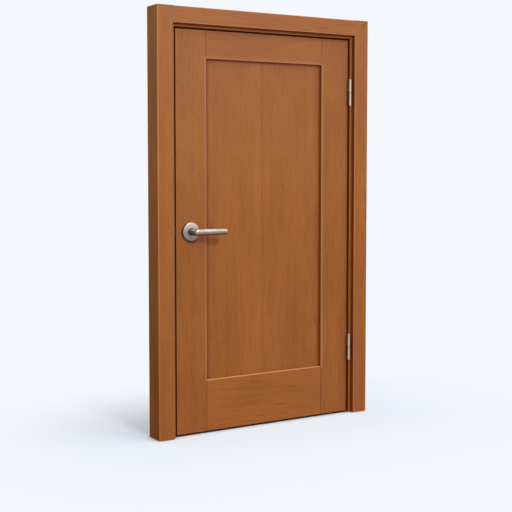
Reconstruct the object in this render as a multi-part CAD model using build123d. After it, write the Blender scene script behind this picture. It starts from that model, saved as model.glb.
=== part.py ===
from build123d import *
from math import sqrt
import os

# A timber door set: a post-and-head frame with linings and stops, a stile-and-rail leaf with one
# floating panel, two lift-off hinges and a lever handle on round roses.
# Millimetres, +Z up, front towards -Y. The origin is on the wall face of the hinge post,
# at floor level and half way through the frame's depth.

# Leaf
LEAF_WIDTH = 1020.0
LEAF_HEIGHT = 1985.0
LEAF_THICKNESS = 44.0
STILE_WIDTH = 168.0
TOP_RAIL_HEIGHT = 136.0
BOTTOM_RAIL_HEIGHT = 257.0
PANEL_THICKNESS = 10.0
GROOVE_DEPTH = 12.0  # runs round the inside of the stiles and rails
GROOVE_ROOM = 1.0  # left at the bottom of the groove for the wood to move
LEAF_ARRIS = 3.0  # radius of the eased edges

# Frame
POST_FACE = 86.0
HEAD_FACE = 81.0
FRAME_DEPTH = 118.0
FRAME_ARRIS = 6.0
LINING_THICKNESS = 14.0
LINING_ARRIS = 1.5
STOP_THICKNESS = 13.0
STOP_WIDTH = 35.0
STOP_ARRIS = 2.0

# How the leaf sits in the frame
LEAF_SETBACK = 30.0  # leaf face behind the face of the posts
LINING_SETBACK = 26.0  # lining edge behind the face of the posts
LEAF_GAP = 10.0  # round the sides and top of the leaf
FLOOR_GAP = 10.0
STOP_GAP = 5.0  # between the back of the leaf and the stops

# Hinges
HINGE_LENGTH = 142.0
UPPER_HINGE_DROP = 275.0  # top of the leaf to the middle of the hinge
LOWER_HINGE_RISE = 348.0  # bottom of the leaf to the middle of the hinge
HINGE_PLATE_WIDTH = 36.0  # let into the edge of the leaf or lining
HINGE_PLATE_THICKNESS = 3.0
HINGE_PLATE_CORNER = 6.0
KNUCKLE_DIAMETER = 15.0
KNUCKLE_TIP = 9.2  # closed end of the barrel
KNUCKLE_TIP_BEVEL = 2.0
PIN_DIAMETER = 8.0
PIN_OFFSET = 13.0  # pin axis in front of the leaf face
PIN_COLLAR_DIAMETER = 13.0
PIN_COLLAR_THICKNESS = 2.0
COLLAR_ROOM = 0.3  # above and below the collar
PIN_FIT = 0.1  # radial

# Handle
HANDLE_HEIGHT = 1012.0  # spindle above the floor
BACKSET = 80.0  # spindle from the edge of the leaf
ROSE_DIAMETER = 90.0
ROSE_THICKNESS = 9.0
ROSE_BEVEL = 2.5
LEVER_DIAMETER = 32.5
LEVER_TIP_DIAMETER = 28.5
LEVER_REACH = 165.0  # spindle to the end of the lever
LEVER_GRIP = 92.0  # spindle to the start of the taper
LEVER_PROJECTION = 65.0  # leaf face to the middle of the lever
LEVER_END_BEVEL = 2.0
NECK_FIT = 0.4  # radial, neck in the hole of the rose
NECK_ROOM = 1.0  # end of the neck to the leaf face
SPINDLE_SIZE = 8.0
SPINDLE_GRIP = 38.0  # length of the spindle inside each lever
SPINDLE_FIT = 0.1
SPINDLE_HOLE = 24.0

# Latch, with its bolt drawn back
LATCH_PLATE_HEIGHT = 57.0
LATCH_PLATE_WIDTH = 25.0
LATCH_PLATE_THICKNESS = 3.0
STRIKE_HEIGHT = 70.0
STRIKE_WIDTH = 32.0
STRIKE_THICKNESS = 2.0
PLATE_CORNER = 4.0
BOLT_HEIGHT = 17.0
BOLT_WIDTH = 11.0
BOLT_LENGTH = 42.0
BOLT_NOSE = 3.0  # flat part of the end, before the slope
BOLT_SLOPE = 9.0  # how far back the slope runs
BOLT_ROOM = 1.5  # round the bolt in the hole of the strike
STRIKE_POCKET = 12.0

FIT = 0.15  # of panel, tenons and let-in plates in the wood

# Places that follow from the sizes
FRAME_WIDTH = LEAF_WIDTH + 2 * (LEAF_GAP + LINING_THICKNESS + POST_FACE)
MIDDLE = -FRAME_WIDTH / 2
LEAF_EDGE = LEAF_WIDTH / 2  # from the middle, as are the next two
LINING_FACE = LEAF_EDGE + LEAF_GAP
POST_INNER = LINING_FACE + LINING_THICKNESS
LEAF_TOP = FLOOR_GAP + LEAF_HEIGHT
LINING_TOP = LEAF_TOP + LEAF_GAP
HEAD_BOTTOM = LINING_TOP + LINING_THICKNESS
FRAME_HEIGHT = HEAD_BOTTOM + HEAD_FACE
FRAME_BACK = FRAME_DEPTH / 2
LEAF_FRONT = LEAF_SETBACK - FRAME_DEPTH / 2
LEAF_BACK = LEAF_FRONT + LEAF_THICKNESS
LEAF_MID = (LEAF_FRONT + LEAF_BACK) / 2
STOP_MID = LEAF_BACK + STOP_GAP + STOP_WIDTH / 2
LINING_FRONT = LINING_SETBACK - FRAME_DEPTH / 2
LINING_DEPTH = FRAME_BACK - LINING_FRONT
LINING_MID = (LINING_FRONT + FRAME_BACK) / 2
GROOVE_WIDTH = PANEL_THICKNESS + 2 * FIT
TONGUE = GROOVE_DEPTH - GROOVE_ROOM
PANEL_BOTTOM = FLOOR_GAP + BOTTOM_RAIL_HEIGHT
PANEL_TOP = LEAF_TOP - TOP_RAIL_HEIGHT
BETWEEN_STILES = LEAF_WIDTH - 2 * STILE_WIDTH
HINGE_SIDE, LOCK_SIDE = 1, -1
PIN_X = MIDDLE + LEAF_EDGE + LEAF_GAP / 2
PIN_Y = LEAF_FRONT - PIN_OFFSET
LINING_OFFSET = LINING_FRONT - PIN_Y
HINGE_PLACES = {
    "upper": Pos(PIN_X, PIN_Y, LEAF_TOP - UPPER_HINGE_DROP),
    "lower": Pos(PIN_X, PIN_Y, FLOOR_GAP + LOWER_HINGE_RISE),
}
LEAF_HALF_TURN = Rot(0, 180, 0)  # the leaf's half of a hinge is the lining's half turned over
SPINDLE_X = MIDDLE - LEAF_EDGE + BACKSET
FRONT_HANDLE = Pos(SPINDLE_X, LEAF_FRONT, HANDLE_HEIGHT) * Rot(90, 0, 0)
BACK_HANDLE = Pos(SPINDLE_X, LEAF_BACK, HANDLE_HEIGHT) * Rot(-90, 0, 0)
LATCH_PLACE = Pos(MIDDLE - LEAF_EDGE, LEAF_MID, HANDLE_HEIGHT)
STRIKE_PLACE = Pos(MIDDLE - LINING_FACE, LEAF_MID, HANDLE_HEIGHT) * Rot(0, 0, 180)
BEHIND_FACE = (Align.MIN, Align.CENTER, Align.CENTER)
STANDING = (Align.CENTER, Align.CENTER, Align.MIN)


def upright(side, distance, depth_mid, width, depth, height, arris, eased=lambda corner: True):
    """A post or strip on the floor, its middle a distance from the frame's middle."""
    section = fillet(Rectangle(width, depth).vertices().filter_by(eased), arris)
    return Pos(MIDDLE + side * distance, depth_mid, 0) * extrude(section, height)


def crosspiece(depth_mid, height_mid, length, depth, height, arris, eased=lambda corner: True):
    """A rail or strip along X across the frame's middle."""
    section = fillet(Rectangle(depth, height).vertices().filter_by(eased), arris)
    return Pos(MIDDLE, depth_mid, height_mid) * extrude(Plane.YZ * section, length / 2, both=True)


def let_in_plate(width, height, thickness, room=0.0):
    """A round-cornered plate with its outer face at X = 0 and its body towards +X, or its recess."""
    outline = RectangleRounded(width + 2 * room, height + 2 * room, PLATE_CORNER + room)
    return extrude(Plane.YZ * outline, thickness)


# Frame: the posts run the full height, and the head is butted between them
def post(side):
    return upright(
        side, POST_INNER + POST_FACE / 2, 0, POST_FACE, FRAME_DEPTH, FRAME_HEIGHT, FRAME_ARRIS
    )


def lock_post():
    """Its inner arrises stop under the head, so that the joint there is flush."""
    square_top = Box(POST_FACE / 2, FRAME_DEPTH, HEAD_FACE)
    place = Pos(MIDDLE - POST_INNER - POST_FACE / 4, 0, HEAD_BOTTOM + HEAD_FACE / 2)
    return post(LOCK_SIDE) + place * square_top


def frame_head():
    return crosspiece(
        0, HEAD_BOTTOM + HEAD_FACE / 2, 2 * POST_INNER, FRAME_DEPTH, HEAD_FACE, FRAME_ARRIS
    )


# Linings stand against the posts, a little in front of the leaf, and the head lining lies on them
def side_lining(side):
    return upright(
        side, LINING_FACE + LINING_THICKNESS / 2, LINING_MID, LINING_THICKNESS, LINING_DEPTH,
        LINING_TOP, LINING_ARRIS, lambda corner: corner.X * side < 0,
    )


def hinge_side_lining():
    strip = side_lining(HINGE_SIDE)
    for place in HINGE_PLACES.values():
        strip -= place * hinge_plate(LINING_OFFSET, FIT)
    return strip


def lock_side_lining():
    recess = let_in_plate(STRIKE_WIDTH, STRIKE_HEIGHT, STRIKE_THICKNESS, FIT)
    pocket = Box(
        STRIKE_POCKET, BOLT_WIDTH + 2 * BOLT_ROOM, BOLT_HEIGHT + 2 * BOLT_ROOM, align=BEHIND_FACE
    )
    return side_lining(LOCK_SIDE) - STRIKE_PLACE * (recess + pocket)


def head_lining():
    return crosspiece(
        LINING_MID, LINING_TOP + LINING_THICKNESS / 2, 2 * POST_INNER, LINING_DEPTH,
        LINING_THICKNESS, LINING_ARRIS, lambda corner: corner.Y < 0,
    )


# Stops are planted on the linings behind the leaf
def side_stop(side):
    return upright(
        side, LINING_FACE - STOP_THICKNESS / 2, STOP_MID, STOP_THICKNESS, STOP_WIDTH,
        LINING_TOP - STOP_THICKNESS, STOP_ARRIS, lambda corner: corner.X * side < 0,
    )


def head_stop():
    return crosspiece(
        STOP_MID, LINING_TOP - STOP_THICKNESS / 2, 2 * LINING_FACE, STOP_WIDTH,
        STOP_THICKNESS, STOP_ARRIS, lambda corner: corner.Y < 0,
    )


# Leaf: grooved stiles, rails with stub tenons, and a panel that floats in the groove
def stile(side):
    board = upright(
        side, LEAF_EDGE - STILE_WIDTH / 2, LEAF_MID, STILE_WIDTH, LEAF_THICKNESS, LEAF_HEIGHT, LEAF_ARRIS
    )
    groove = Pos(MIDDLE + side * (BETWEEN_STILES + GROOVE_DEPTH) / 2, LEAF_MID, 0) * Box(
        GROOVE_DEPTH, GROOVE_WIDTH, LEAF_HEIGHT, align=STANDING
    )
    return Pos(0, 0, FLOOR_GAP) * (board - groove)


def hinge_stile():
    board = stile(HINGE_SIDE)
    for place in HINGE_PLACES.values():
        board -= place * LEAF_HALF_TURN * hinge_plate(PIN_OFFSET, FIT)
    return board


def lock_stile():
    recess = let_in_plate(LATCH_PLATE_WIDTH, LATCH_PLATE_HEIGHT, LATCH_PLATE_THICKNESS, FIT)
    mortise = Box(BOLT_LENGTH, BOLT_WIDTH + 2 * FIT, BOLT_HEIGHT + 2 * FIT, align=BEHIND_FACE)
    through = FRONT_HANDLE * Cylinder(SPINDLE_HOLE / 2, 2 * LEAF_THICKNESS)
    return stile(LOCK_SIDE) - LATCH_PLACE * (recess + mortise) - through


def rail(bottom, height, toward_panel):
    """A rail grooved along its top (1) or bottom (-1) edge, with a stub tenon at each end."""
    middle = bottom + height / 2
    board = crosspiece(LEAF_MID, middle, BETWEEN_STILES, LEAF_THICKNESS, height, LEAF_ARRIS)
    groove = Pos(0, 0, toward_panel * (height - GROOVE_DEPTH) / 2) * Box(
        BETWEEN_STILES, GROOVE_WIDTH, GROOVE_DEPTH
    )
    tenons = Pos(0, 0, -toward_panel * GROOVE_DEPTH / 2) * Box(
        BETWEEN_STILES + 2 * TONGUE, PANEL_THICKNESS, height - GROOVE_DEPTH
    )
    place = Pos(MIDDLE, LEAF_MID, middle)
    return board - place * groove + place * tenons


def panel():
    height = PANEL_TOP - PANEL_BOTTOM + 2 * TONGUE
    board = Box(BETWEEN_STILES + 2 * TONGUE, PANEL_THICKNESS, height)
    return Pos(MIDDLE, LEAF_MID, (PANEL_BOTTOM + PANEL_TOP) / 2) * board


# Hinges, about the middle of the pin: the pin and lower knuckle stay with the lining
def hinge_plate(offset, room=0.0):
    """A plate flush in its board, whose edge is offset from the pin, or the plate's recess."""
    outline = Rectangle(HINGE_PLATE_WIDTH + room, HINGE_LENGTH + 2 * room)
    outline = fillet(outline.vertices().filter_by(lambda corner: corner.X > 0), HINGE_PLATE_CORNER)
    plate = extrude(Plane.YZ * outline, HINGE_PLATE_THICKNESS)
    return Pos(LEAF_GAP / 2, offset + (HINGE_PLATE_WIDTH + room) / 2, 0) * plate


def knuckle(length):
    """Half of the barrel on Z = 0, with its foot bevelled."""
    barrel = Cylinder(KNUCKLE_DIAMETER / 2, length, align=STANDING)
    return chamfer(barrel.edges().sort_by(Axis.Z)[0], KNUCKLE_TIP_BEVEL)


def hinge_half(offset):
    half_gap = PIN_COLLAR_THICKNESS / 2 + COLLAR_ROOM
    length = HINGE_LENGTH / 2 - half_gap
    foot = Pos(0, 0, -HINGE_LENGTH / 2)
    above_tip = foot * Pos(0, 0, KNUCKLE_TIP)
    web = Pos(LEAF_GAP / 2, 0, 0) * Box(
        HINGE_PLATE_THICKNESS, offset, length - KNUCKLE_TIP, align=(Align.MIN, Align.MIN, Align.MIN)
    )
    bore = Cylinder(PIN_DIAMETER / 2 + PIN_FIT, length - KNUCKLE_TIP, align=STANDING)
    return hinge_plate(offset) + (foot * knuckle(length) + above_tip * web - above_tip * bore)


def hinge_pin():
    length = HINGE_LENGTH - 2 * KNUCKLE_TIP
    return Cylinder(PIN_DIAMETER / 2, length) + Cylinder(PIN_COLLAR_DIAMETER / 2, PIN_COLLAR_THICKNESS)


# Handle, standing on the face of the leaf: the lever turns in the rose
def rose():
    radius = ROSE_DIAMETER / 2
    section = Polygon((0, 0), (radius, 0), (radius, ROSE_THICKNESS), (0, ROSE_THICKNESS), align=None)
    rim = section.vertices().filter_by(lambda corner: corner.X > 0 and corner.Y > 0)
    disc = revolve(Plane.XZ * chamfer(rim, ROSE_BEVEL), Axis.Z)
    return disc - Cylinder(LEVER_DIAMETER / 2 + NECK_FIT, 2 * ROSE_THICKNESS)


def lever_bar():
    """Turned along X from a ball end round the origin, and tapering beyond the grip to a bevelled tip."""
    radius, tip = LEVER_DIAMETER / 2, LEVER_TIP_DIAMETER / 2
    ball = ThreePointArc((-radius, 0), (-radius * sqrt(0.5), radius * sqrt(0.5)), (0, radius))
    rest = Polyline(
        (0, radius), (LEVER_GRIP, radius), (LEVER_REACH - LEVER_END_BEVEL, tip),
        (LEVER_REACH, tip - LEVER_END_BEVEL), (LEVER_REACH, 0), (-radius, 0),
    )
    return revolve(make_face([ball, rest]), Axis.X)


def lever():
    """Neck, and a bar whose ball end makes the corner, with a square socket for the spindle."""
    neck = Cylinder(LEVER_DIAMETER / 2, LEVER_PROJECTION - NECK_ROOM, align=STANDING)
    socket_size = SPINDLE_SIZE + 2 * SPINDLE_FIT
    socket = Pos(0, 0, NECK_ROOM) * Box(socket_size, socket_size, SPINDLE_GRIP, align=STANDING)
    return Pos(0, 0, NECK_ROOM) * neck + Pos(0, 0, LEVER_PROJECTION) * lever_bar() - socket


def spindle():
    length = LEAF_THICKNESS + 2 * (NECK_ROOM + SPINDLE_GRIP - SPINDLE_FIT)
    return Pos(SPINDLE_X, LEAF_MID, HANDLE_HEIGHT) * Box(SPINDLE_SIZE, length, SPINDLE_SIZE)


# Latch: faceplate and bolt in the edge of the lock stile, strike in the lining
def latch_faceplate():
    plate = let_in_plate(LATCH_PLATE_WIDTH, LATCH_PLATE_HEIGHT, LATCH_PLATE_THICKNESS)
    hole = Box(LATCH_PLATE_THICKNESS, BOLT_WIDTH + 2 * FIT, BOLT_HEIGHT + 2 * FIT, align=BEHIND_FACE)
    return LATCH_PLACE * (plate - hole)


def latch_bolt():
    half = BOLT_WIDTH / 2
    section = Polygon(
        (0, -half), (BOLT_LENGTH, -half), (BOLT_LENGTH, half), (BOLT_SLOPE, half), (0, BOLT_NOSE - half),
        align=None,
    )
    return LATCH_PLACE * extrude(section, BOLT_HEIGHT / 2, both=True)


def strike_plate():
    plate = let_in_plate(STRIKE_WIDTH, STRIKE_HEIGHT, STRIKE_THICKNESS)
    hole = Box(
        STRIKE_THICKNESS, BOLT_WIDTH + 2 * BOLT_ROOM, BOLT_HEIGHT + 2 * BOLT_ROOM, align=BEHIND_FACE
    )
    return STRIKE_PLACE * (plate - hole)


parts = {
    "hinge_post": post(HINGE_SIDE),
    "lock_post": lock_post(),
    "frame_head": frame_head(),
    "hinge_side_lining": hinge_side_lining(),
    "lock_side_lining": lock_side_lining(),
    "head_lining": head_lining(),
    "hinge_side_stop": side_stop(HINGE_SIDE),
    "lock_side_stop": side_stop(LOCK_SIDE),
    "head_stop": head_stop(),
    "strike_plate": strike_plate(),
    "hinge_stile": hinge_stile(),
    "lock_stile": lock_stile(),
    "top_rail": rail(PANEL_TOP, TOP_RAIL_HEIGHT, -1),
    "bottom_rail": rail(FLOOR_GAP, BOTTOM_RAIL_HEIGHT, 1),
    "panel": panel(),
    "latch_faceplate": latch_faceplate(),
    "latch_bolt": latch_bolt(),
    "front_rose": FRONT_HANDLE * rose(),
    "back_rose": BACK_HANDLE * rose(),
    "front_lever": FRONT_HANDLE * lever(),
    "back_lever": BACK_HANDLE * lever(),
    "spindle": spindle(),
}
for level, place in HINGE_PLACES.items():
    parts[f"{level}_hinge_lining_half"] = place * hinge_half(LINING_OFFSET)
    parts[f"{level}_hinge_leaf_half"] = place * LEAF_HALF_TURN * hinge_half(PIN_OFFSET)
    parts[f"{level}_hinge_pin"] = place * hinge_pin()

os.makedirs("parts", exist_ok=True)
for name, shape in parts.items():
    export_step(shape, f"parts/{name}.step")
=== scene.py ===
import bpy
from math import pi, radians
from mathutils import Matrix, Vector


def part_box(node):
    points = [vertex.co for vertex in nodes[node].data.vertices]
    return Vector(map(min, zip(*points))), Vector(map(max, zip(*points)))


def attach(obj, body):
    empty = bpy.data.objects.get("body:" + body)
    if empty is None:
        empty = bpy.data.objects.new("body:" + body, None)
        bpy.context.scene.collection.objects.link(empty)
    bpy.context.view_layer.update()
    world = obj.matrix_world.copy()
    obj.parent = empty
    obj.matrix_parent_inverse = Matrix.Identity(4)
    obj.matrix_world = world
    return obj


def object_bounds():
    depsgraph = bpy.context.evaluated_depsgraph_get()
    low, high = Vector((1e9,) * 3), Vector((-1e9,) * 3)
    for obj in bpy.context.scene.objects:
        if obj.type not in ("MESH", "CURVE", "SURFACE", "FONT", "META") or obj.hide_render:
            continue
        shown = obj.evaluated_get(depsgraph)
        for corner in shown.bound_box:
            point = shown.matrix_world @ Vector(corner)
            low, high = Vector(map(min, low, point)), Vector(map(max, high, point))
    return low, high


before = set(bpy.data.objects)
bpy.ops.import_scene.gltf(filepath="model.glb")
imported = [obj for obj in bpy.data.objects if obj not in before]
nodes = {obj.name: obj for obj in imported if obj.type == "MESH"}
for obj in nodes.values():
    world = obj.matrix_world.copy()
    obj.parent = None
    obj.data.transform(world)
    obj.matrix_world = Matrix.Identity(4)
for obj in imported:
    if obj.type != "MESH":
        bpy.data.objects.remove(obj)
cad_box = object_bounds()


# Frame posts and head: solid hardwood, planed square, with the long arrises eased by hand.
# The posts run to the floor and the head is butted between them. Stained red-brown under a satin
# lacquer, with painted highlights along the edges and painted light on the ledges that face up.
LACQUER_GLOSS = 0.36
EDGE_ROUGH = 0.95
# painted highlights on the arrises and painted light on the ledges stop below this height
HIGHLIGHT_TOP = 2.093
ARRIS_LIGHT_LOW, ARRIS_LIGHT_HIGH = 0.2, 1.2  # heights between which the painted arris highlight grows stronger
ARRIS_LIGHT_LEAST = 0.3
ARRIS_LIGHT_MOST = {"X": 0.9, "Z": 0.5}  # more on the lying boards
PORE_DEPTH = 0.0003
# how dark the dark joints and the boxes of painted shadow are
JOINT_DIRT_AND_SHADE = 0.7
ARRIS_START, ARRIS_FULL = 0.998, 0.94  # how square to the board a surface still is
FOOT_HEIGHT = 1.5  # painted shade: a little darker towards the floor
SHEEN_START, SHEEN_FULL = 0.7, 2.05  # painted sheen: paler and greyer towards the top
WOOD_DARK = (0.238, 0.060, 0.0050, 1)
WOOD_MID = (0.324, 0.096, 0.0090, 1)
WOOD_LIGHT = (0.402, 0.132, 0.0180, 1)
WOOD_PORE = (0.140, 0.030, 0.003, 1)
WOOD_END = (0.190, 0.046, 0.006, 1)
# painted highlight on the arrises and round the panel
WOOD_HIGHLIGHT = (0.620, 0.270, 0.105, 1)
# painted light on the ledges that face up
WOOD_TOP_LIGHT = (0.600, 0.290, 0.130, 1)
# dark joints and the crack, and painted shade beside the hinges, gap, rose and panel
WOOD_JOINT_AND_SHADE = (0.085, 0.022, 0.005, 1)
# painted sheen towards the top
WOOD_SHEEN = (0.31, 0.132, 0.070, 1)
# painted light on the side against the wall
SIDE_LIGHT_TONE = (1.38, 1.55, 1.90, 1)
# painted shade in the gap round the leaf
GAP_SHADE_TONE = (0.78, 0.55, 0.32, 1)
UNDERSIDE_SHADE_TONE = (0.60, 0.28, 0.07, 1)  # painted shade on the undersides at the head
# painted shade towards the floor
FOOT_SHADE_TONE = (0.90, 0.86, 0.80, 1)


def shader_node(tree, kind, inputs, **options):
    """Adds a node, with its inputs given as values or as sockets to link from."""
    made = tree.nodes.new("ShaderNode" + kind)
    for name, value in options.items():
        setattr(made, name, value)
    for name, value in inputs.items():
        if isinstance(value, bpy.types.NodeSocket):
            tree.links.new(value, made.inputs[name])
        else:
            made.inputs[name].default_value = value
    return made


def number(tree, operation, first, second=0.0, third=0.0):
    return shader_node(
        tree, "Math", {0: first, 1: second, 2: third}, operation=operation
    ).outputs["Value"]


def ranged(tree, value, start, end, low=0.0, high=1.0):
    """Low where the value is at the start, high at the end, and smooth between."""
    return shader_node(
        tree, "MapRange",
        {"Value": value, "From Min": start, "From Max": end, "To Min": low, "To Max": high},
        interpolation_type="SMOOTHSTEP",
    ).outputs["Result"]


def vector(tree, operation, first, second=(0, 0, 0)):
    made = shader_node(tree, "VectorMath", {0: first, 1: second}, operation=operation)
    return made.outputs["Value" if operation in ("LENGTH", "DOT_PRODUCT") else "Vector"]


def axis_part(tree, source, axis):
    return shader_node(tree, "SeparateXYZ", {"Vector": source}).outputs[axis]


def colour_ramp(tree, factor, stops):
    ramp = shader_node(tree, "ValToRGB", {"Fac": factor})
    elements = ramp.color_ramp.elements
    while len(elements) < len(stops):
        elements.new(1.0)
    for element, (position, colour) in zip(elements, stops):
        element.position = position
        element.color = colour
    return ramp.outputs["Color"]


def mixed(tree, factor, first, second, blend="MIX"):
    made = shader_node(tree, "Mix", {}, data_type="RGBA", blend_type=blend)
    for socket, value in (("Factor_Float", factor), ("A_Color", first), ("B_Color", second)):
        target = next(s for s in made.inputs if s.identifier == socket)
        if isinstance(value, bpy.types.NodeSocket):
            tree.links.new(value, target)
        else:
            target.default_value = value
    return next(s for s in made.outputs if s.identifier == "Result_Color")


def lay_over(tree, factor, colour, blend="MIX"):
    """Lays a colour over what the material has so far, where the factor is 1."""
    base = tree.nodes["Principled BSDF"].inputs["Base Color"]
    tree.links.new(mixed(tree, factor, base.links[0].from_socket, colour, blend), base)


def noise(tree, turned, stretch, scale, detail, rough=0.5):
    """Noise drawn out along the grain."""
    drawn = vector(tree, "MULTIPLY", turned, (1, 1, 1 / stretch))
    return shader_node(
        tree, "TexNoise", {"Vector": drawn, "Scale": scale, "Detail": detail, "Roughness": rough}
    ).outputs["Fac"]


def stained_wood(tree, turned):
    """Stained hardwood under satin lacquer with open pores. The grain runs along turned Z."""
    rings = shader_node(
        tree, "TexWave",
        {"Vector": vector(tree, "MULTIPLY", turned, (1, 1, 1 / 9)), "Scale": 6, "Distortion": 9,
         "Detail": 3, "Detail Scale": 1.2, "Detail Roughness": 0.65},
        wave_type="RINGS", rings_direction="Z",
    ).outputs["Fac"]
    tone = noise(tree, turned, stretch=3, scale=8, detail=2)
    bands = noise(tree, turned, stretch=14, scale=34, detail=4, rough=0.6)
    flecks = noise(tree, turned, stretch=18, scale=190, detail=2)
    fibres = noise(tree, turned, stretch=40, scale=800, detail=2)
    pores = noise(tree, turned, stretch=22, scale=1300, detail=1)
    layers = ((rings, 0.05), (tone, 0.46), (bands, 0.20), (fibres, 0.20))
    grain = 0.5 - sum(weight for layer, weight in layers) / 2
    for layer, weight in layers:
        grain = number(tree, "MULTIPLY_ADD", layer, weight, grain)
    colour = colour_ramp(tree, grain, ((0.2, WOOD_DARK), (0.5, WOOD_MID), (0.8, WOOD_LIGHT)))
    dark_fleck = ranged(tree, flecks, start=0.58, end=0.70, high=0.85)
    light_fleck = ranged(tree, flecks, start=0.38, end=0.28, high=0.6)
    colour = mixed(tree, dark_fleck, colour, WOOD_DARK)
    colour = mixed(tree, light_fleck, colour, WOOD_LIGHT)
    pore = ranged(tree, pores, start=0.58, end=0.72, high=0.5)
    shader = tree.nodes["Principled BSDF"]
    shader.inputs["Specular IOR Level"].default_value = LACQUER_GLOSS
    tree.links.new(mixed(tree, pore, colour, WOOD_PORE), shader.inputs["Base Color"])
    satin = ranged(tree, grain, start=0.2, end=0.8, low=0.52, high=0.42)
    tree.links.new(satin, shader.inputs["Roughness"])
    depth = number(tree, "MULTIPLY_ADD", fibres, 0.35, pore)
    bump = shader_node(
        tree, "Bump", {"Strength": 0.25, "Distance": PORE_DEPTH, "Height": depth}, invert=True
    )
    tree.links.new(bump.outputs["Normal"], shader.inputs["Normal"])


def new_material(name):
    material = bpy.data.materials.new(name)
    material.use_nodes = True
    source = shader_node(material.node_tree, "TexCoord", {})
    return material, material.node_tree, source.outputs["Object"], source.outputs["Normal"]


def finish_node(node, material):
    materials = nodes[node].data.materials
    materials.clear()
    materials.append(material)


def inside(tree, place, low, high):
    """1 inside a box, 0 outside."""
    middle, half = (low + high) / 2, (high - low) / 2
    off = vector(tree, "ABSOLUTE", vector(tree, "SUBTRACT", place, middle))
    parts = shader_node(tree, "SeparateXYZ", {"Vector": vector(tree, "DIVIDE", off, half)}).outputs
    furthest = number(tree, "MAXIMUM", number(tree, "MAXIMUM", parts["X"], parts["Y"]), parts["Z"])
    return number(tree, "LESS_THAN", furthest, 1.0)


def painted_light_and_end_grain(tree, place, normal, grain):
    """Lays painted sheen on a board towards the top and painted shade towards the foot, with dark
    end grain and rough edges. Lays painted highlights on the arrises and painted light on the
    up-facing ledges."""
    height = axis_part(tree, place, "Z")
    below_highlight_top = number(tree, "LESS_THAN", height, HIGHLIGHT_TOP)
    arris_light_height = ranged(tree, height, ARRIS_LIGHT_LOW, ARRIS_LIGHT_HIGH, ARRIS_LIGHT_LEAST, ARRIS_LIGHT_MOST[grain])
    arris_highlight = number(tree, "MULTIPLY", below_highlight_top, arris_light_height)
    # painted sheen towards the top
    lay_over(tree, ranged(tree, height, SHEEN_START, SHEEN_FULL, high=0.17), WOOD_SHEEN)
    # painted shade towards the floor
    lay_over(tree, ranged(tree, height, FOOT_HEIGHT, 0.0), FOOT_SHADE_TONE, "MULTIPLY")
    parts = shader_node(tree, "SeparateXYZ", {"Vector": vector(tree, "ABSOLUTE", normal)}).outputs
    squarest = number(tree, "MAXIMUM", number(tree, "MAXIMUM", parts["X"], parts["Y"]), parts["Z"])
    lay_over(tree, ranged(tree, parts[grain], start=0.7, end=0.95, high=0.6), WOOD_END)
    # painted highlight along the arrises, stronger higher up
    arris = ranged(tree, squarest, ARRIS_START, ARRIS_FULL)
    lay_over(tree, number(tree, "MULTIPLY", arris, arris_highlight), WOOD_HIGHLIGHT)
    # painted light on the faces that look up
    ledge = ranged(tree, axis_part(tree, normal, "Z"), start=0.3, end=0.9, high=0.6)
    lay_over(tree, number(tree, "MULTIPLY", ledge, below_highlight_top), WOOD_TOP_LIGHT)
    rough = tree.nodes["Principled BSDF"].inputs["Roughness"]
    edge = ranged(tree, parts["Y"], start=0.75, end=0.3, high=EDGE_ROUGH)
    tree.links.new(number(tree, "MAXIMUM", rough.links[0].from_socket, edge), rough)


def board(node, grain, pith, shade=1.0, joints=()):
    """Gives one board its own cut and shade of the wood.
    The pith is where the tree's middle lay from the board, and the joint boxes are darkened, for
    dark joints and for painted shadow."""
    material, tree, place, normal = new_material(node + "_wood")
    low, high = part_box(node)
    turn = Matrix.Rotation(radians(-90 if grain == "X" else 0), 3, "Y")
    turned = shader_node(
        tree, "Mapping",
        {"Vector": place, "Rotation": turn.to_euler(),
         "Location": Vector(pith) - turn @ ((low + high) / 2)},
    ).outputs["Vector"]
    stained_wood(tree, turned)
    painted_light_and_end_grain(tree, place, normal, grain)
    lay_over(tree, 1.0, (shade, shade, shade, 1), "MULTIPLY")
    # dark joints, and painted shadow beside the hinges
    for joint_low, joint_high in joints:
        dirt_and_shade = number(tree, "MULTIPLY", inside(tree, place, joint_low, joint_high), JOINT_DIRT_AND_SHADE)
        lay_over(tree, dirt_and_shade, WOOD_JOINT_AND_SHADE)
    finish_node(node, material)
    return tree, place, normal


def faces(tree, normal, direction):
    """1 on the faces that look in a direction, 0 elsewhere."""
    return ranged(tree, vector(tree, "DOT_PRODUCT", normal, direction), start=0.5, end=0.95)


def toward_gap(made, direction, tone=GAP_SHADE_TONE):
    """Painted shade on the faces that look into the gap round the leaf."""
    tree, _, normal = made
    lay_over(tree, faces(tree, normal, direction), tone, "MULTIPLY")


def painted_light_side(made, direction):
    """Painted light on the side against the wall: paler, least at the floor and fully from the
    foot height up.
    """
    tree, place, normal = made
    above_floor = ranged(tree, axis_part(tree, place, "Z"), 0.1, FOOT_HEIGHT)
    paler = number(tree, "MULTIPLY", faces(tree, normal, direction), above_floor)
    lay_over(tree, paler, SIDE_LIGHT_TONE, "MULTIPLY")


LEFT, RIGHT, DOWN = (-1, 0, 0), (1, 0, 0), (0, 0, -1)
HEAD_JOINT = 0.0028  # dirt beside the head's end, in the eased edge of the post
low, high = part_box("hinge_post")
head_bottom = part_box("frame_head")[0].z
head_joint = (
    Vector((low.x - HEAD_JOINT, low.y, head_bottom)),
    Vector((low.x + HEAD_JOINT, high.y, high.z)),
)
hinge_post = board("hinge_post", "Z", pith=(0.31, 0.12, 3.1), joints=(head_joint,))
lock_post = board("lock_post", "Z", pith=(-0.28, 0.16, 7.7), shade=1.03)
frame_head = board("frame_head", "X", pith=(0.27, 0.14, 5.2), shade=1.05)
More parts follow.
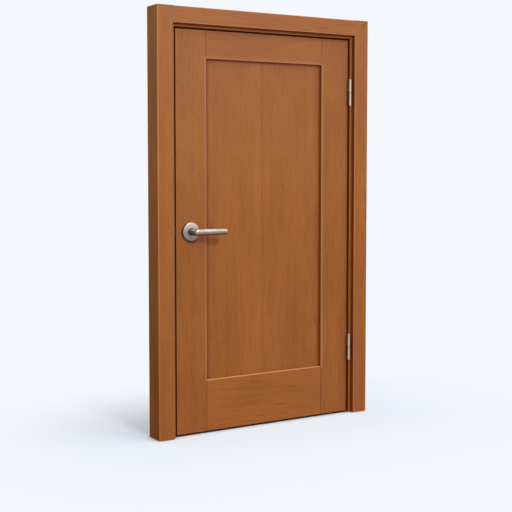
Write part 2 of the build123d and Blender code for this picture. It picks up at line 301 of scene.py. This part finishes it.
# painted light on the outer sides
painted_light_side(hinge_post, RIGHT)
painted_light_side(lock_post, LEFT)
# painted shade on the faces that look into the gap, and under the head
toward_gap(hinge_post, LEFT)
toward_gap(lock_post, RIGHT)
toward_gap(frame_head, DOWN, UNDERSIDE_SHADE_TONE)

# Painted shade on the lock post: its inner arris is darkened from top to bottom,
# beside the gap round the leaf.
tree, _, normal = lock_post
inward = axis_part(tree, normal, "X")
gap_arris_shade = number(
    tree, "MULTIPLY",
    ranged(tree, inward, start=0.15, end=0.5, high=0.85),
    ranged(tree, inward, start=0.995, end=0.9),
)
lay_over(tree, gap_arris_shade, WOOD_JOINT_AND_SHADE)

# Crack in the hinge post: a short one, from drying, that runs up to the outer top corner.
# Stain has drawn into the wood beside it, so it shows as a soft dark stroke.
CRACK_FROM_CORNER = Vector((-0.028, 0, -0.021))  # to its middle
CRACK_ALONG, CRACK_ACROSS = Vector((0.75, 0, 0.66)), Vector((-0.66, 0, 0.75))
CRACK_LENGTH, CRACK_WIDTH = 0.048, 0.008
tree, place, _ = hinge_post
from_crack = vector(tree, "SUBTRACT", place, high + CRACK_FROM_CORNER)
along = number(tree, "ABSOLUTE", vector(tree, "DOT_PRODUCT", from_crack, CRACK_ALONG))
aside = number(tree, "ABSOLUTE", vector(tree, "DOT_PRODUCT", from_crack, CRACK_ACROSS))
crack = number(
    tree, "MULTIPLY",
    ranged(tree, along, CRACK_LENGTH / 2, CRACK_LENGTH / 3, high=0.95),
    ranged(tree, aside, CRACK_WIDTH / 2, 0.0),
)
lay_over(tree, crack, WOOD_JOINT_AND_SHADE)


# Linings and stops: thinner strips of the same wood. The linings are pinned to the posts, their
# edges a little in front of the leaf, and oiled, not lacquered. The stops are planted on them
# behind the leaf.
OILED_GLOSS = 0.25
HINGE_SHADOW_REACH = 0.007  # painted shadow of each barrel on the wood beside it
HEAD_SHADE_DEPTH = 0.010  # painted shade in the corner under the head


# Boxes of painted shadow beside each hinge barrel.
def beside_hinges(edge):
    for level in ("upper", "lower"):
        low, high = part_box(f"{level}_hinge_lining_half")
        reach = Vector((HINGE_SHADOW_REACH, high.y - low.y, HINGE_SHADOW_REACH / 2))
        yield Vector((edge, low.y, low.z)) - reach, Vector((edge, high.y, high.z)) + reach


hinge_side_lining = board(
    "hinge_side_lining", "Z", pith=(0.24, -0.11, 11.3),
    joints=beside_hinges(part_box("hinge_side_lining")[0].x),
)
lock_side_lining = board("lock_side_lining", "Z", pith=(-0.22, 0.13, 13.9))
head_lining = board("head_lining", "X", pith=(0.29, 0.10, 15.4), shade=1.3)
# painted shade on the faces that look into the gap, and under the head
toward_gap(hinge_side_lining, LEFT)
toward_gap(lock_side_lining, RIGHT)
toward_gap(head_lining, DOWN, UNDERSIDE_SHADE_TONE)
# painted shade on the lining's top, just under the head
tree, place, _ = head_lining
under_head = ranged(
    tree, axis_part(tree, place, "Z"), head_bottom - HEAD_SHADE_DEPTH, head_bottom - HEAD_SHADE_DEPTH / 4
)
lay_over(tree, under_head, UNDERSIDE_SHADE_TONE, "MULTIPLY")
for lining in (hinge_side_lining, lock_side_lining, head_lining):
    lining[0].nodes["Principled BSDF"].inputs["Specular IOR Level"].default_value = OILED_GLOSS
board("hinge_side_stop", "Z", pith=(0.33, 0.09, 17.8))
board("lock_side_stop", "Z", pith=(-0.26, 0.12, 19.6))
board("head_stop", "X", pith=(0.21, 0.15, 21.5))


# Leaf: two full-height stiles grooved on the inside, with the rails stub-tenoned between them.
# The stiles' edges are eased before gluing, so each shoulder shows as a fine dark line. Painted
# shade lies along the leaf's top and hinge-side edges, beside the frame.
SHOULDER = 0.0026  # width of the eased edge that holds the dirt
# painted shade along the leaf's top and hinge-side edges
EDGE_WIDTH = 0.022
EDGE_SHADE_TONE = (0.76, 0.62, 0.45, 1)
PANEL_HIGHLIGHT_WIDTH = 0.020  # painted highlight on the strip round the panel
opening_left, opening_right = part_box("lock_stile")[1].x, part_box("hinge_stile")[0].x
opening_bottom, opening_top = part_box("bottom_rail")[1].z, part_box("top_rail")[0].z


def shoulders(node, edge):
    """The two stretches of a stile's inner edge that a rail is glued to."""
    low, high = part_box(node)
    for bottom, top in ((low.z, opening_bottom), (opening_top, high.z)):
        yield (
            Vector((edge - SHOULDER, low.y - SHOULDER, bottom)),
            Vector((edge + SHOULDER, high.y + SHOULDER, top)),
        )


def rail_end(node):
    """The end of a rail on the hinge side, where the glue has darkened it."""
    low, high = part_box(node)
    return (
        Vector((opening_right - SHOULDER / 2, low.y - SHOULDER, low.z)),
        Vector((high.x, high.y + SHOULDER, high.z)),
    )


def near_edges(tree, place, low, high, full, width):
    """1 along the edges of an upright rectangle, and 0 from a width inside them, or outside if it
    is negative."""
    off = vector(tree, "ABSOLUTE", vector(tree, "SUBTRACT", place, (low + high) / 2))
    within = vector(tree, "SUBTRACT", (high - low) / 2, off)
    inward = shader_node(tree, "SeparateXYZ", {"Vector": within}).outputs
    return ranged(tree, number(tree, "MINIMUM", inward["X"], inward["Z"]), width, full)


leaf_low, leaf_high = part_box("lock_stile")[0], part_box("hinge_stile")[1]
below_leaf = Vector((0, 0, EDGE_WIDTH))
board("bottom_rail", "X", pith=(-0.32, 0.14, 31.7), shade=1.03, joints=[rail_end("bottom_rail")])
top_rail = board("top_rail", "X", pith=(0.26, 0.17, 28.4), joints=[rail_end("top_rail")])
hinge_stile = board(
    "hinge_stile", "Z", pith=(0.35, 0.13, 23.2), shade=0.96,
    joints=[*shoulders("hinge_stile", opening_right), *beside_hinges(leaf_high.x)],
)
lock_stile = board(
    "lock_stile", "Z", pith=(-0.30, 0.11, 26.1), shade=0.98,
    joints=shoulders("lock_stile", opening_left),
)
# painted shade along the leaf's top and hinge-side edges
for tree, place, _ in (top_rail, hinge_stile):
    edge_shade = near_edges(tree, place, leaf_low - below_leaf, leaf_high, 0.0, EDGE_WIDTH)
    lay_over(tree, edge_shade, EDGE_SHADE_TONE, "MULTIPLY")
# painted shade on the stiles' edges in the gap
toward_gap(lock_stile, LEFT)
toward_gap(hinge_stile, RIGHT)
opening_low = Vector((opening_left, 0, opening_bottom))
opening_high = Vector((opening_right, 0, opening_top))
# painted highlight on the face strip round the panel
for (tree, place, normal), much in ((hinge_stile, 0.28), (lock_stile, 0.2), (top_rail, 0.18)):
    beside_panel = near_edges(tree, place, opening_low, opening_high, 0.0, -PANEL_HIGHLIGHT_WIDTH)
    facing = number(tree, "ABSOLUTE", axis_part(tree, normal, "Y"))
    on_face = ranged(tree, facing, start=0.7, end=0.95, high=much)
    lay_over(tree, number(tree, "MULTIPLY", beside_panel, on_face), WOOD_HIGHLIGHT)

# Lock stile's marks: a painted shadow ring round the rose, set down and to the left, and a pin
# knot shows as a short dark streak near the top.
SHADOW_RING_DROP = Vector((-0.004, 0, -0.005))
SHADOW_RING_WIDTH = 0.008
KNOT = Vector((-1.055, 0, 1.829))
KNOT_WIDTH, KNOT_LENGTH = 0.0045, 0.062
low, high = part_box("front_rose")
rose_middle, rose_radius = (low + high) / 2, (high.x - low.x) / 2


def across(tree, place, middle, width, length):
    """Distance from a place on the face, 1 at the edge of an oval of this width and length."""
    off = vector(tree, "SUBTRACT", place, middle)
    return vector(tree, "LENGTH", vector(tree, "MULTIPLY", off, (2 / width, 0, 2 / length)))


tree, place, _ = lock_stile
# painted shadow round the rose
shadow_ring = across(tree, place, rose_middle + SHADOW_RING_DROP, 2 * rose_radius, 2 * rose_radius)
lay_over(tree, ranged(tree, shadow_ring, 1 + SHADOW_RING_WIDTH / rose_radius, 1.0, high=0.9), WOOD_JOINT_AND_SHADE)
knot = across(tree, place, KNOT, KNOT_WIDTH, KNOT_LENGTH)
lay_over(tree, ranged(tree, knot, 1.0, 0.4, high=0.7), WOOD_PORE)


# Panel: veneered board that floats in the groove. Two leaves of veneer from one flitch meet a
# little left of the middle, opened like a book, so the figure mirrors at the seam. Stain has
# gathered there. Painted shade lies along the top and sides, in the corner beside the rails and
# stiles.
SEAM_FROM_MIDDLE = -0.014
SEAM_WIDTH = 0.009  # with the stain that has crept into the veneer beside it
SEAM_BOTTOM, SEAM_TOP = 0.5, 1.5  # the seam shows more towards the top
PALER_WIDTH = 0.12  # the left leaf of veneer is paler towards the seam
SHADED_WIDTH = 0.11  # painted shade, darker towards the lock stile
SHADED_NARROW = 0.05  # painted shade on the right leaf, darker towards the hinge stile
SHADED_TONE = (0.925, 0.915, 0.93, 1)
PANEL_SHADE = (0.982, 0.975, 0.975, 1)
# painted shade in the corner round the panel's top and sides
BORDER_FULL, BORDER_WIDTH = 0.004, 0.019
BORDER_EXTRA, BORDER_LINE = 0.008, 0.016  # painted shade reaches further on the lock side, with a fine painted shadow line
BORDER_TONE = (0.84, 0.58, 0.28, 1)
material, tree, place, normal = new_material("panel_wood")
seam = (opening_left + opening_right) / 2 + SEAM_FROM_MIDDLE
from_seam = vector(tree, "SUBTRACT", place, (seam, 0, 0))
opened = vector(tree, "ABSOLUTE", from_seam)
stained_wood(tree, vector(tree, "ADD", opened, (0.24, 0.10, 34.9)))
painted_light_and_end_grain(tree, place, normal, "Z")
beyond_seam = axis_part(tree, from_seam, "X")
left_leaf = number(tree, "LESS_THAN", beyond_seam, 0.0)
paler = ranged(tree, beyond_seam, -PALER_WIDTH, 0.0, low=0.04, high=0.24)
lay_over(tree, number(tree, "MULTIPLY", left_leaf, paler), WOOD_LIGHT)
across_panel = axis_part(tree, place, "X")
shaded = number(
    tree, "MAXIMUM",
    ranged(tree, across_panel, opening_left + SHADED_WIDTH, opening_left),
    ranged(tree, across_panel, opening_right - SHADED_NARROW, opening_right),
)
lay_over(tree, shaded, SHADED_TONE, "MULTIPLY")
lay_over(tree, 1.0, PANEL_SHADE, "MULTIPLY")
height = axis_part(tree, place, "Z")
on_seam = ranged(tree, axis_part(tree, opened, "X"), SEAM_WIDTH / 2, 0.0)
seam_stain = ranged(tree, height, SEAM_BOTTOM, SEAM_TOP, low=0.3, high=0.95)
lay_over(tree, number(tree, "MULTIPLY", on_seam, seam_stain), WOOD_DARK)
# painted shade round the panel's top and sides
border_low = Vector((opening_left + BORDER_EXTRA, 0, opening_bottom - BORDER_WIDTH))
border = near_edges(tree, place, border_low, opening_high, BORDER_FULL, BORDER_WIDTH)
lay_over(tree, border, BORDER_TONE, "MULTIPLY")
# a fine painted shadow line beside the lock stile
beside_stile = ranged(
    tree, across_panel, opening_left + BORDER_LINE, opening_left + BORDER_EXTRA, high=JOINT_DIRT_AND_SHADE
)
lay_over(tree, beside_stile, WOOD_JOINT_AND_SHADE)
finish_node("panel", material)


# Hinges: lift-off hinges of satin steel, each with a turned barrel round a fixed pin. Their plates
# are let in flush and held by four raised screws with cross slots, set in a zigzag. Painted shade
# lies on the barrels' sides, which are also made rough and not metallic, and the pins are dark
# with oil.
STEEL = (0.54, 0.445, 0.355, 1)
OILED_STEEL = (0.12, 0.085, 0.06, 1)
BARREL_SIDE_SHADE = (0.150, 0.048, 0.012, 1)
BARREL_SIDE_ROUGH = 0.9
CLOUDED = 0.86  # how much darker the metal is in places
BRUSHED_UP, BRUSHED_ACROSS = (1, 1, 0.03), (0.03, 1, 1)


def satin_metal(name, colour, rough, drawn_out):
    """Fine-brushed metal, whose hairlines are drawn out along one axis."""
    material, tree, place, normal = new_material(name)
    drawn = vector(tree, "MULTIPLY", place, drawn_out)
    hairlines = shader_node(
        tree, "TexNoise", {"Vector": drawn, "Scale": 2500, "Detail": 2, "Roughness": 0.6}
    ).outputs["Fac"]
    cloud = shader_node(
        tree, "TexNoise", {"Vector": place, "Scale": 60, "Detail": 3}
    ).outputs["Fac"]
    tint = number(tree, "MULTIPLY_ADD", hairlines, 0.5, cloud)
    darker = tuple(CLOUDED * part for part in colour[:3]) + (1,)
    shader = tree.nodes["Principled BSDF"]
    shader.inputs["Metallic"].default_value = 1.0
    tinted = colour_ramp(tree, tint, ((0.5, darker), (1.0, colour)))
    tree.links.new(tinted, shader.inputs["Base Color"])
    scratched = ranged(tree, hairlines, start=0.3, end=0.7, low=rough - 0.04, high=rough + 0.06)
    tree.links.new(scratched, shader.inputs["Roughness"])
    bump = shader_node(tree, "Bump", {"Strength": 0.08, "Distance": 0.0001, "Height": hairlines})
    tree.links.new(bump.outputs["Normal"], shader.inputs["Normal"])
    return material, tree, place, normal


HINGE_STEEL, tree, place, normal = satin_metal("hinge_satin_steel", STEEL, 0.40, BRUSHED_UP)
plate_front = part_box("hinge_side_lining")[0].y
on_barrel = ranged(tree, axis_part(tree, place, "Y"), plate_front, plate_front - 0.001)
sideways = axis_part(tree, normal, "X")
# painted shade on the barrel's sides, which are also made rough and not metallic
shaded_sides = number(
    tree, "MAXIMUM",
    ranged(tree, sideways, start=-0.80, end=-0.97), ranged(tree, sideways, start=0.45, end=0.7),
)
shaded_sides = number(tree, "MULTIPLY", shaded_sides, on_barrel)
lay_over(tree, shaded_sides, BARREL_SIDE_SHADE)
shader = tree.nodes["Principled BSDF"]
tree.links.new(number(tree, "SUBTRACT", 1.0, shaded_sides), shader.inputs["Metallic"])
rough = shader.inputs["Roughness"]
dull = number(tree, "MULTIPLY", shaded_sides, BARREL_SIDE_ROUGH)
tree.links.new(number(tree, "MAXIMUM", rough.links[0].from_socket, dull), rough)
PIN_STEEL = satin_metal("pin_oiled_steel", OILED_STEEL, 0.35, BRUSHED_UP)[0]
for level in ("upper", "lower"):
    for piece in ("hinge_lining_half", "hinge_leaf_half"):
        finish_node(f"{level}_{piece}", HINGE_STEEL)
    finish_node(f"{level}_hinge_pin", PIN_STEEL)

SCREW_WIDTH = 0.009
SCREW_RISE = 0.0009
SCREW_SEAT = 0.4 * SCREW_RISE  # how far the head goes into the plate
CLEAN_CUT, WELD = 1e-7, 2e-6  # the head is too small for the usual distances
SLOT_WIDTH, SLOT_LENGTH, SLOT_DEPTH = 0.0011, 0.0056, 0.0006
PLATE_WIDTH, PLATE_THICKNESS = 0.036, 0.003
HINGE_SCREWS = ((0.007, -0.054), (-0.007, -0.018), (0.007, 0.018), (-0.007, 0.054))  # across, up


def cut(piece, tool):
    """Takes the tool's shape out of the piece."""
    difference = piece.modifiers.new("cut", "BOOLEAN")
    difference.operation = "DIFFERENCE"
    difference.object = tool
    bpy.context.view_layer.objects.active = piece
    bpy.ops.object.modifier_apply(modifier=difference.name)
    bpy.data.objects.remove(tool)


def screw_head():
    """A raised head on the origin, along Z, with a cross slot."""
    bpy.ops.object.select_all(action="DESELECT")
    bpy.ops.mesh.primitive_uv_sphere_add(
        segments=32, ring_count=24, radius=SCREW_WIDTH / 2,
        scale=(1, 1, 2 * SCREW_RISE / SCREW_WIDTH),
    )
    head = bpy.context.object
    bpy.ops.object.mode_set(mode="EDIT")
    bpy.ops.mesh.select_all(action="SELECT")
    bpy.ops.mesh.bisect(
        plane_co=(0, 0, -SCREW_SEAT), plane_no=(0, 0, 1), clear_inner=True, use_fill=True,
        threshold=CLEAN_CUT,
    )
    bpy.ops.object.mode_set(mode="OBJECT")
    for turn in (0, pi / 2):
        bpy.ops.mesh.primitive_cube_add(
            size=1, location=(0, 0, SCREW_RISE), rotation=(0, 0, turn),
            scale=(SLOT_LENGTH, SLOT_WIDTH, 2 * SLOT_DEPTH),
        )
        cut(head, bpy.context.object)
    bpy.ops.object.mode_set(mode="EDIT")
    bpy.ops.mesh.select_all(action="SELECT")
    bpy.ops.mesh.remove_doubles(threshold=WELD)
    bpy.ops.object.mode_set(mode="OBJECT")
    return head


def set_screws(name, places, outward, body, metal):
    """Screw heads on a plate, whose face looks along X: the places are their middles."""
    first = screw_head()
    heads = [first]
    for _ in places[1:]:
        head = first.copy()
        head.data = first.data.copy()
        bpy.context.scene.collection.objects.link(head)
        heads.append(head)
    bpy.ops.object.select_all(action="DESELECT")
    for index, (head, place) in enumerate(zip(heads, places)):
        tightened = Matrix.Rotation(index, 4, "Z")  # each slot stops at an angle of its own
        upright = Matrix.Rotation(outward * pi / 2, 4, "Y")
        head.matrix_world = Matrix.Translation(place) @ upright @ tightened
        head.select_set(True)
    bpy.context.view_layer.objects.active = first
    bpy.ops.object.join()
    bpy.ops.object.transform_apply(location=True, rotation=True, scale=True)
    bpy.ops.object.shade_smooth_by_angle(angle=radians(30))
    first.name = name
    first.data.materials.append(metal)
    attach(first, body)


for level in ("upper", "lower"):
    for half, body, outward in (("lining", "frame", -1), ("leaf", "leaf", 1)):
        low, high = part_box(f"{level}_hinge_{half}_half")
        face = high.x - PLATE_THICKNESS if half == "lining" else low.x + PLATE_THICKNESS
        middle = Vector((face, high.y - PLATE_WIDTH / 2, (low.z + high.z) / 2))
        places = [middle + Vector((0, across_plate, up)) for across_plate, up in HINGE_SCREWS]
        set_screws(
            f"{level}_hinge_{half}_screws", places, outward, body, HINGE_STEEL
        )


# Latch: a flush faceplate and its bolt in the edge of the lock stile, and the strike in the
# lining. Brushed steel, each plate held by two raised screws.
BRIGHT_STEEL = (0.55, 0.50, 0.45, 1)
LATCH_STEEL = satin_metal("latch_brushed_steel", BRIGHT_STEEL, 0.34, BRUSHED_UP)[0]
for piece in ("latch_faceplate", "latch_bolt", "strike_plate", "spindle"):
    finish_node(piece, LATCH_STEEL)

LATCH_SCREWS = (  # plate, body, which way it faces, screws from its middle
    ("latch_faceplate", "leaf", -1, 0.0190), ("strike_plate", "frame", 1, 0.0235),
)
for plate, body, outward, spread in LATCH_SCREWS:
    low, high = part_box(plate)
    middle = (low + high) / 2
    middle.x = high.x if outward > 0 else low.x
    places = [middle + Vector((0, 0, up)) for up in (-spread, spread)]
    set_screws(f"{plate}_screws", places, outward, body, LATCH_STEEL)


# Roses: turned discs of satin aluminium, screwed on from behind. Painted shade makes the metal
# darker towards the bottom and dark brown round the rim and the neck.
ALUMINIUM = (0.68, 0.58, 0.505, 1)
ROSE_SHADE = (0.26, 0.205, 0.165, 1)
METAL_SHADE_BROWN = (0.075, 0.042, 0.025, 1)
METAL_ROUGH = 0.42
NECK_RING = 0.041  # across
ROSE_METAL, tree, place, normal = satin_metal(
    "rose_satin_aluminium", ALUMINIUM, METAL_ROUGH, BRUSHED_ACROSS
)
low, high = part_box("front_rose")
# painted shade: the rose darker towards the bottom
lay_over(tree, ranged(tree, axis_part(tree, place, "Z"), high.z, low.z), ROSE_SHADE)
# painted shade, dark brown on the rim
facing = number(tree, "ABSOLUTE", axis_part(tree, normal, "Y"))
lay_over(tree, ranged(tree, facing, start=0.35, end=0.15), METAL_SHADE_BROWN)
# painted shade, dark brown round the neck
neck = across(tree, place, rose_middle, NECK_RING, NECK_RING)
lay_over(tree, ranged(tree, neck, start=1.0, end=0.85, high=0.85), METAL_SHADE_BROWN)
finish_node("front_rose", ROSE_METAL)
finish_node("back_rose", ROSE_METAL)


# Levers: turned bar of the same aluminium with a ball end, welded to its neck and drawn down a
# little towards the tip. Painted shade makes it darker below, dark brown underneath and at the
# neck.
LEVER_ALUMINIUM = (0.47, 0.40, 0.325, 1)
LEVER_SHADE = (0.27, 0.222, 0.185, 1)
NECK_DARK, NECK_BRIGHT = 0.066, 0.074  # from the middle of the leaf
LEVER_METAL, tree, place, normal = satin_metal(
    "lever_satin_aluminium", LEVER_ALUMINIUM, METAL_ROUGH, BRUSHED_ACROSS
)
upward = axis_part(tree, normal, "Z")
# painted shade, darker as the surface turns down
lay_over(tree, ranged(tree, upward, start=0.75, end=-0.25), LEVER_SHADE)
# painted shade, dark brown underneath
lay_over(tree, ranged(tree, upward, start=-0.2, end=-0.9), METAL_SHADE_BROWN)
low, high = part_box("lock_stile")
from_middle = number(tree, "SUBTRACT", axis_part(tree, place, "Y"), (low.y + high.y) / 2)
outward = number(tree, "ABSOLUTE", from_middle)
# painted shade, dark brown on the neck
lay_over(tree, ranged(tree, outward, NECK_BRIGHT, NECK_DARK, high=0.8), METAL_SHADE_BROWN)
finish_node("front_lever", LEVER_METAL)
finish_node("back_lever", LEVER_METAL)


# Studio: a pale floor that fades into the background of the same colour, a soft main light from
# the front and above, a wider one overhead to the right, and even light from all sides.
PALE = (0.9047, 0.9301, 0.9823, 1)
ROOM_LIGHT = 0.32
WIDE_GLOW = 0.26
MAIN_LIGHT = 1.41
MAIN_WIDTH = radians(12)
MAIN_TURN, MAIN_RISE = radians(1), radians(33)
OVERHEAD_LIGHT = 1.55
OVERHEAD_WIDTH = radians(40)
OVERHEAD_TURN, OVERHEAD_RISE = radians(35), radians(70)
TOP_LIGHT = 160
TOP_PLACE, TOP_AIM = (0.3, -6.0, 2.7), 2.35  # it only grazes the top of the door
TOP_SPREAD, TOP_SOFT = radians(32), 0.6
LIGHT_DISTANCE = 6
FLOOR_RADIUS = 5.0
FLOOR_SEEN = (0.46, 0.485, 0.51, 1)
FLOOR_LIT = (0.42, 0.42, 0.42, 1)  # how much light it throws back
FLOOR_UNDER = (0.16, 0.075, 0.035, 1)  # painted bounce light and shade: the wood's colour on the floor close under a piece
FLOOR_GLOW = 0.37
FLOOR_CONTACT = 0.08  # how near a piece darkens it
FLOOR_NEAR = (0.95, 0.99, 1.01, 1)  # cooler by the door, against the wood's warm light
FLOOR_COOL = 0.6  # how far from the door's foot
FLOOR_FULL, FLOOR_GONE = 0.1, 1.2  # from the door's foot


def toward(turn, rise):
    return Matrix.Rotation(turn, 3, "Z") @ Matrix.Rotation(-rise, 3, "X") @ Vector((0, -1, 0))


to_main_light = toward(MAIN_TURN, MAIN_RISE)


def seen_directly(tree):
    """1 for what the camera sees itself, in a mirror or through glass, 0 for light on things."""
    path = shader_node(tree, "LightPath", {})
    seen = path.outputs["Is Camera Ray"]
    for ray in ("Is Glossy Ray", "Is Transmission Ray"):
        seen = number(tree, "MAXIMUM", seen, path.outputs[ray])
    return seen


world = bpy.data.worlds.new("studio")
world.use_nodes = True
bpy.context.scene.world = world
tree = world.node_tree
outwards = shader_node(tree, "TexCoord", {}).outputs["Generated"]
toward_main = number(tree, "MAXIMUM", vector(tree, "DOT_PRODUCT", outwards, to_main_light), 0.0)
room_light = number(tree, "MULTIPLY_ADD", toward_main, WIDE_GLOW, ROOM_LIGHT)
room = tree.nodes["Background"]
room.inputs["Color"].default_value = (1, 1, 1, 1)
tree.links.new(room_light, room.inputs["Strength"])
backdrop = shader_node(tree, "Background", {"Color": PALE, "Strength": 1.0})
chosen = shader_node(
    tree, "MixShader",
    {0: seen_directly(tree), 1: room.outputs["Background"], 2: backdrop.outputs["Background"]},
)
tree.links.new(chosen.outputs["Shader"], tree.nodes["World Output"].inputs["Surface"])

low, high = cad_box
middle = (low + high) / 2
post_low, post_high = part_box("hinge_post")
foot_half = Vector(((high.x - low.x) / 2, (post_high.y - post_low.y) / 2, 0))
bpy.ops.object.select_all(action="DESELECT")
bpy.ops.mesh.primitive_circle_add(
    vertices=96, radius=FLOOR_RADIUS, fill_type="NGON", location=(middle.x, 0, 0)
)
floor = bpy.context.object
floor.name = "floor"
material, tree, place, _ = new_material("floor_paper")
beyond = vector(tree, "SUBTRACT", vector(tree, "ABSOLUTE", place), foot_half)
from_foot = vector(tree, "LENGTH", vector(tree, "MAXIMUM", beyond))
seen = seen_directly(tree)
cooler = ranged(tree, from_foot, FLOOR_COOL, 0.0)
open_above = shader_node(tree, "AmbientOcclusion", {"Distance": FLOOR_CONTACT}).outputs["AO"]
tinted = mixed(tree, cooler, FLOOR_SEEN, FLOOR_NEAR, "MULTIPLY")
tinted = mixed(tree, ranged(tree, open_above, start=0.45, end=0.15), tinted, FLOOR_UNDER)
paper = shader_node(tree, "BsdfDiffuse", {"Color": mixed(tree, seen, FLOOR_LIT, tinted)})
lifted = ranged(tree, open_above, start=0.3, end=0.85, high=FLOOR_GLOW)
glow = shader_node(
    tree, "Emission",
    {"Color": mixed(tree, cooler, PALE, FLOOR_NEAR, "MULTIPLY"),
     "Strength": number(tree, "MULTIPLY", seen, lifted)},
)
surface = shader_node(tree, "AddShader", {0: paper.outputs["BSDF"], 1: glow.outputs["Emission"]})
clear = shader_node(tree, "BsdfTransparent", {})
faded = ranged(tree, from_foot, FLOOR_FULL, FLOOR_GONE)
ground = shader_node(
    tree, "MixShader", {0: faded, 1: surface.outputs["Shader"], 2: clear.outputs["BSDF"]}
)
tree.links.new(ground.outputs["Shader"], tree.nodes["Material Output"].inputs["Surface"])
floor.data.materials.append(material)


def lamp(name, kind, place, aim, power):
    light = bpy.data.lights.new(name, kind)
    light.energy = power
    holder = bpy.data.objects.new(name, light)
    holder.location = place
    holder.rotation_euler = (Vector(aim) - Vector(place)).to_track_quat("-Z", "Y").to_euler()
    bpy.context.scene.collection.objects.link(holder)
    return light


main_place = middle + LIGHT_DISTANCE * to_main_light
overhead_place = middle + LIGHT_DISTANCE * toward(OVERHEAD_TURN, OVERHEAD_RISE)
main_lamp = lamp("main", "SUN", main_place, middle, MAIN_LIGHT)
main_lamp.angle = MAIN_WIDTH
overhead_lamp = lamp("overhead", "SUN", overhead_place, middle, OVERHEAD_LIGHT)
overhead_lamp.angle = OVERHEAD_WIDTH
top_lamp = lamp("top", "SPOT", TOP_PLACE, (middle.x, 0, TOP_AIM), TOP_LIGHT)
top_lamp.spot_size = TOP_SPREAD
top_lamp.spot_blend = 1.0
top_lamp.shadow_soft_size = TOP_SOFT


# Camera: a long lens a little above half height, to the left of the door, with the view
# lowered by a small shift so that the posts stay nearly upright.
CAMERA_PLACE = (-3.3959, -4.5896, 1.3621)
CAMERA_YAW = radians(30.79)
CAMERA_PITCH = radians(3.558)
LENS_LENGTH, SENSOR_WIDTH, LENS_SHIFT = 73.57, 36.0, -0.06
lens = bpy.data.cameras.new("camera")
lens.lens = LENS_LENGTH
lens.sensor_width = SENSOR_WIDTH
lens.shift_y = LENS_SHIFT
camera = bpy.data.objects.new("camera", lens)
camera.location = CAMERA_PLACE
camera.rotation_euler = (pi / 2 - CAMERA_PITCH, 0, -CAMERA_YAW)
bpy.context.scene.collection.objects.link(camera)
bpy.context.scene.camera = camera
bpy.context.scene.view_settings.view_transform = "Standard"
